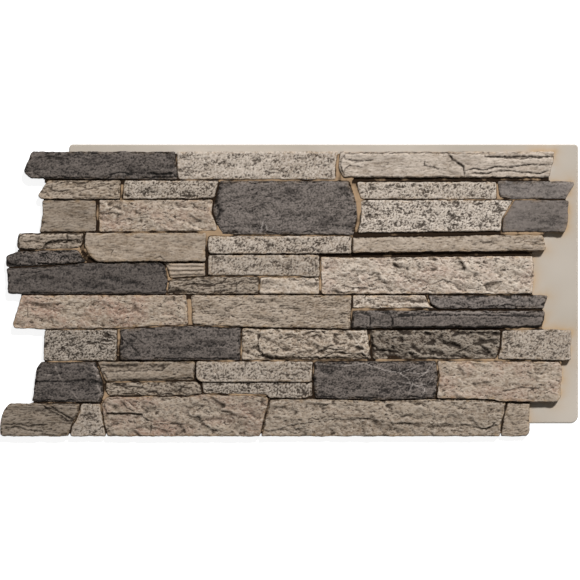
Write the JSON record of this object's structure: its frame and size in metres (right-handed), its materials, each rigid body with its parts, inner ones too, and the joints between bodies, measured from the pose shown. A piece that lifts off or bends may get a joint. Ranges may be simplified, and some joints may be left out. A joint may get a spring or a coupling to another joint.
{
  "type": "faux stone wall panel",
  "caption": "Interlocking wall panel of moulded foam with a ledge-stone face, a nailing flange at the top and right, and stones that lap over at the left and bottom.",
  "frame": {"origin": "centre of the back's bounding box, on the plane of the flat back", "axes": "+X along the courses to the nailing flange's right edge, +Y up the wall, +Z out of the wall through the stone face"},
  "size_m": [1.245, 0.628, 0.0313],
  "materials": {
    "flange": "matt base coat, pale grey-beige",
    "charcoal_stone": "matt charcoal coat with brown rubbed edges",
    "speckled_stone": "matt buff coat with dark wash in the pits",
    "tan_stone": "matt grey-tan coat with ochre stain near the joints"
  },
  "bodies": {
    "root": {"panel": "flange"}
  },
  "joints": []
}
